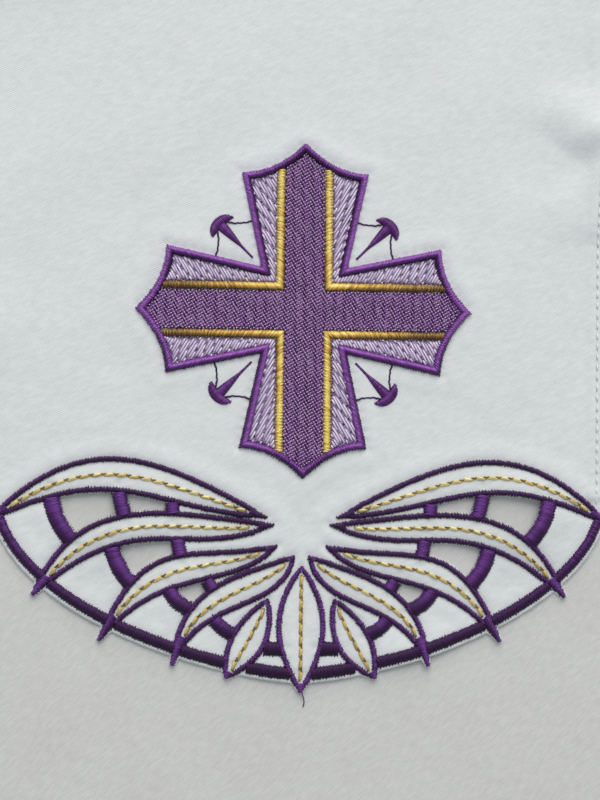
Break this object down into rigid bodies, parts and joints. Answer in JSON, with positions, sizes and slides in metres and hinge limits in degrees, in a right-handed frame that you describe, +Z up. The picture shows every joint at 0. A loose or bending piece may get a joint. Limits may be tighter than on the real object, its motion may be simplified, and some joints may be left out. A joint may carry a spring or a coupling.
{
  "type": "altar cloth",
  "caption": "Small white twill altar cloth lying flat, with an embroidered cross and nails in purple and gold and a lower end of satin-stitched cutwork leaves.",
  "frame": {"origin": "under the middle of the cross, on the surface that the cloth lies on", "axes": "+X to the right across the cloth, +Y from the cutwork end towards the top hem, +Z up out of the embroidered face"},
  "size_m": [0.183, 0.2208, 0.0046],
  "materials": {
    "white_twill": "matt fine twill",
    "purple_satin": "satin stitches of shiny thread",
    "dense_fill": "close fill stitches of shiny thread",
    "open_fill": "open slanted fill stitches with the cloth between them",
    "gold_thread": "satin stitches of shiny metallic-looking thread"
  },
  "bodies": {
    "root": {"bar_1a_left": "purple_satin", "bar_1a_right": "purple_satin", "bar_1b_left": "purple_satin", "bar_1b_right": "purple_satin", "bar_2a_left": "purple_satin", "bar_2a_right": "purple_satin", "bar_3a_left": "purple_satin", "bar_3a_right": "purple_satin", "bar_5_left": "purple_satin", "bar_5_right": "purple_satin", "cloth": "white_twill", "cross_border": "purple_satin", "cross_centre_fill": "dense_fill", "edge_band_1_left": "purple_satin", "edge_band_1_right": "purple_satin", "edge_band_2_left": "purple_satin", "edge_band_2_right": "purple_satin", "edge_band_3_left": "purple_satin", "edge_band_3_right": "purple_satin", "edge_band_4_left": "purple_satin", "edge_band_4_right": "purple_satin", "edge_band_5_left": "purple_satin", "edge_band_5_right": "purple_satin", "gold_line_lower_left": "gold_thread", "gold_line_lower_right": "gold_thread", "gold_line_upper_left": "gold_thread", "gold_line_upper_right": "gold_thread", "leaf_1_left": "purple_satin", "leaf_1_right": "purple_satin", "leaf_2_left": "purple_satin", "leaf_2_right": "purple_satin", "leaf_3_left": "purple_satin", "leaf_3_right": "purple_satin", "leaf_4_left": "purple_satin", "leaf_4_right": "purple_satin", "leaf_5_left": "purple_satin", "leaf_5_right": "purple_satin", "leaf_centre": "purple_satin", "nail_lower_left": "purple_satin", "nail_lower_right": "purple_satin", "nail_upper_left": "purple_satin", "nail_upper_right": "purple_satin", "rib_1_left": "purple_satin", "rib_1_right": "purple_satin", "rib_2_left": "purple_satin", "rib_2_right": "purple_satin", "rib_3_left": "purple_satin", "rib_3_right": "purple_satin", "rib_4_left": "purple_satin", "rib_4_right": "purple_satin", "wedge_fill_lower_left": "open_fill", "wedge_fill_lower_right": "open_fill", "wedge_fill_upper_left": "open_fill", "wedge_fill_upper_right": "open_fill"}
  },
  "joints": []
}
